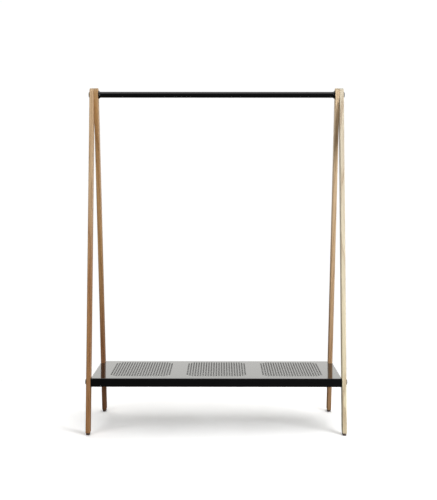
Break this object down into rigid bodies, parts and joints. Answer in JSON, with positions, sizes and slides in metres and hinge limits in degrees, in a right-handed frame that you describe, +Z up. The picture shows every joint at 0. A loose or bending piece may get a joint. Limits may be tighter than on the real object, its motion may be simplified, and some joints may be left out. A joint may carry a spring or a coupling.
{
  "type": "clothes rack",
  "caption": "Free-standing A-frame clothes rack: crossed wooden legs, a round black hanging rail and a low perforated steel shelf.",
  "frame": {"origin": "on the floor, midway between the four feet", "axes": "+X along the hanging rail to the right, -Y towards the front, +Z up"},
  "size_m": [1.2, 0.5078, 1.5904],
  "materials": {
    "ash": "clear matt lacquer on pale ash",
    "powder_coat": "semi-gloss black powder coat",
    "black_hardware": "satin black",
    "nut_steel": "zinc plated",
    "foot_plastic": "matt dark plastic"
  },
  "bodies": {
    "root": {"leg_front_left": "ash", "leg_front_right": "ash", "leg_back_left": "ash", "leg_back_right": "ash", "foot_front_left": "foot_plastic", "foot_front_right": "foot_plastic", "foot_back_left": "foot_plastic", "foot_back_right": "foot_plastic", "hanging_rail": "powder_coat", "rail_collar_left": "powder_coat", "rail_collar_right": "powder_coat", "rail_bolt_left": "black_hardware", "rail_bolt_right": "black_hardware", "shelf_bolt_front_left": "black_hardware", "shelf_bolt_front_right": "black_hardware", "shelf_bolt_back_left": "black_hardware", "shelf_bolt_back_right": "black_hardware", "shelf_nut_front_left": "nut_steel", "shelf_nut_front_right": "nut_steel", "shelf_nut_back_left": "nut_steel", "shelf_nut_back_right": "nut_steel", "shelf_deck": "powder_coat", "shelf_front_flange": "powder_coat", "shelf_rear_flange": "powder_coat", "shelf_side_left": "powder_coat", "shelf_side_right": "powder_coat"}
  },
  "joints": []
}
